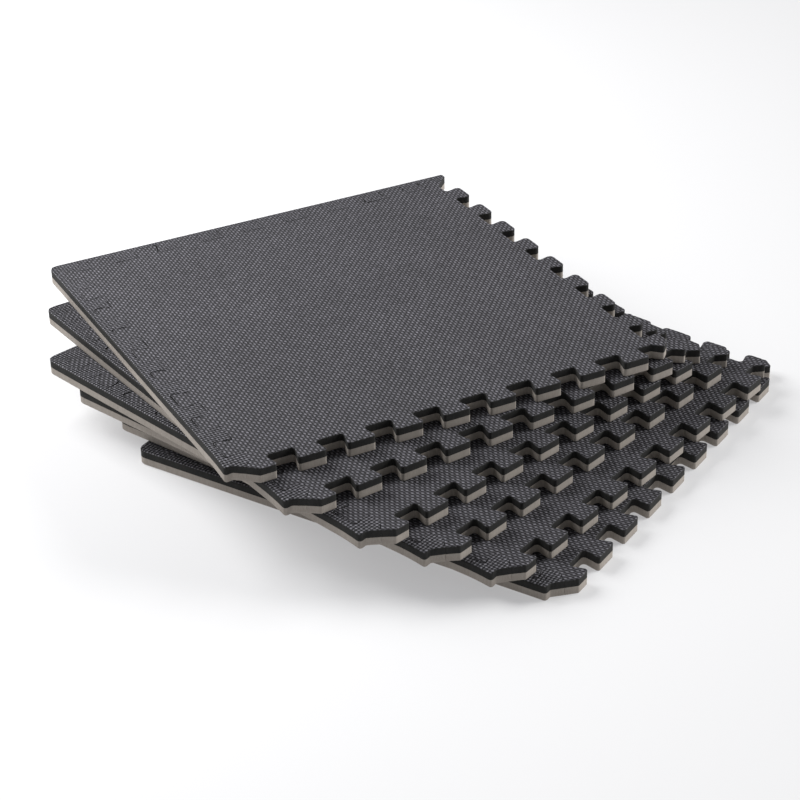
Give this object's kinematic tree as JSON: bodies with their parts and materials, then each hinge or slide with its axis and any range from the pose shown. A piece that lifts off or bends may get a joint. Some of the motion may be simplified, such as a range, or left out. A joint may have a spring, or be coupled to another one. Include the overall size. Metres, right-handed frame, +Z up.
{
  "type": "blocking mats",
  "caption": "Fanned pile of square interlocking foam mats with dovetail-toothed edges and press-in border strips, charcoal over grey.",
  "frame": {"origin": "bottom centre of the box around the whole fan of mats, on the surface that it lies on", "axes": "+X along the top mat's front edge, left to right; +Y from its front edge to its back edge; +Z up, the way the mats are piled"},
  "size_m": [0.4598, 0.4542, 0.0645],
  "materials": {
    "charcoal_foam": "matt, fine pressed texture on the upper face",
    "grey_foam": "matt, smooth cut foam"
  },
  "bodies": {
    "mat_1": {"mat_1_tile_base": "grey_foam", "mat_1_tile_face": "charcoal_foam", "mat_1_left_strip_base": "grey_foam", "mat_1_left_strip_face": "charcoal_foam", "mat_1_back_strip_base": "grey_foam", "mat_1_back_strip_face": "charcoal_foam"},
    "mat_2": {"mat_2_tile_base": "grey_foam", "mat_2_tile_face": "charcoal_foam", "mat_2_left_strip_base": "grey_foam", "mat_2_left_strip_face": "charcoal_foam", "mat_2_back_strip_base": "grey_foam", "mat_2_back_strip_face": "charcoal_foam"},
    "mat_3": {"mat_3_tile_base": "grey_foam", "mat_3_tile_face": "charcoal_foam", "mat_3_left_strip_base": "grey_foam", "mat_3_left_strip_face": "charcoal_foam", "mat_3_back_strip_base": "grey_foam", "mat_3_back_strip_face": "charcoal_foam"},
    "mat_4": {"mat_4_tile_base": "grey_foam", "mat_4_tile_face": "charcoal_foam", "mat_4_left_strip_base": "grey_foam", "mat_4_left_strip_face": "charcoal_foam", "mat_4_back_strip_base": "grey_foam", "mat_4_back_strip_face": "charcoal_foam"},
    "mat_5": {"mat_5_tile_base": "grey_foam", "mat_5_tile_face": "charcoal_foam", "mat_5_left_strip_base": "grey_foam", "mat_5_left_strip_face": "charcoal_foam", "mat_5_back_strip_base": "grey_foam", "mat_5_back_strip_face": "charcoal_foam"},
    "mat_6": {"mat_6_tile_base": "grey_foam", "mat_6_tile_face": "charcoal_foam"},
    "mat_6_left_strip": {"mat_6_left_strip_base": "grey_foam", "mat_6_left_strip_face": "charcoal_foam"},
    "mat_6_back_strip": {"mat_6_back_strip_base": "grey_foam", "mat_6_back_strip_face": "charcoal_foam"}
  },
  "joints": [
    {"name": "mat_2_lift", "type": "slide", "parent": "mat_1", "child": "mat_2", "axis": [0, 0, 1], "range_m": [0, 0.15]},
    {"name": "mat_3_lift", "type": "slide", "parent": "mat_2", "child": "mat_3", "axis": [0, 0, 1], "range_m": [0, 0.15]},
    {"name": "mat_4_lift", "type": "slide", "parent": "mat_3", "child": "mat_4", "axis": [0, 0, 1], "range_m": [0, 0.15]},
    {"name": "mat_5_lift", "type": "slide", "parent": "mat_4", "child": "mat_5", "axis": [0, 0, 1], "range_m": [0, 0.15]},
    {"name": "mat_6_lift", "type": "slide", "parent": "mat_5", "child": "mat_6", "axis": [0, 0, 1], "range_m": [0, 0.15]},
    {"name": "mat_6_left_strip_lift", "type": "slide", "parent": "mat_6", "child": "mat_6_left_strip", "axis": [0, 0, 1], "range_m": [0, 0.05]},
    {"name": "mat_6_back_strip_lift", "type": "slide", "parent": "mat_6", "child": "mat_6_back_strip", "axis": [0, 0, 1], "range_m": [0, 0.05]}
  ]
}
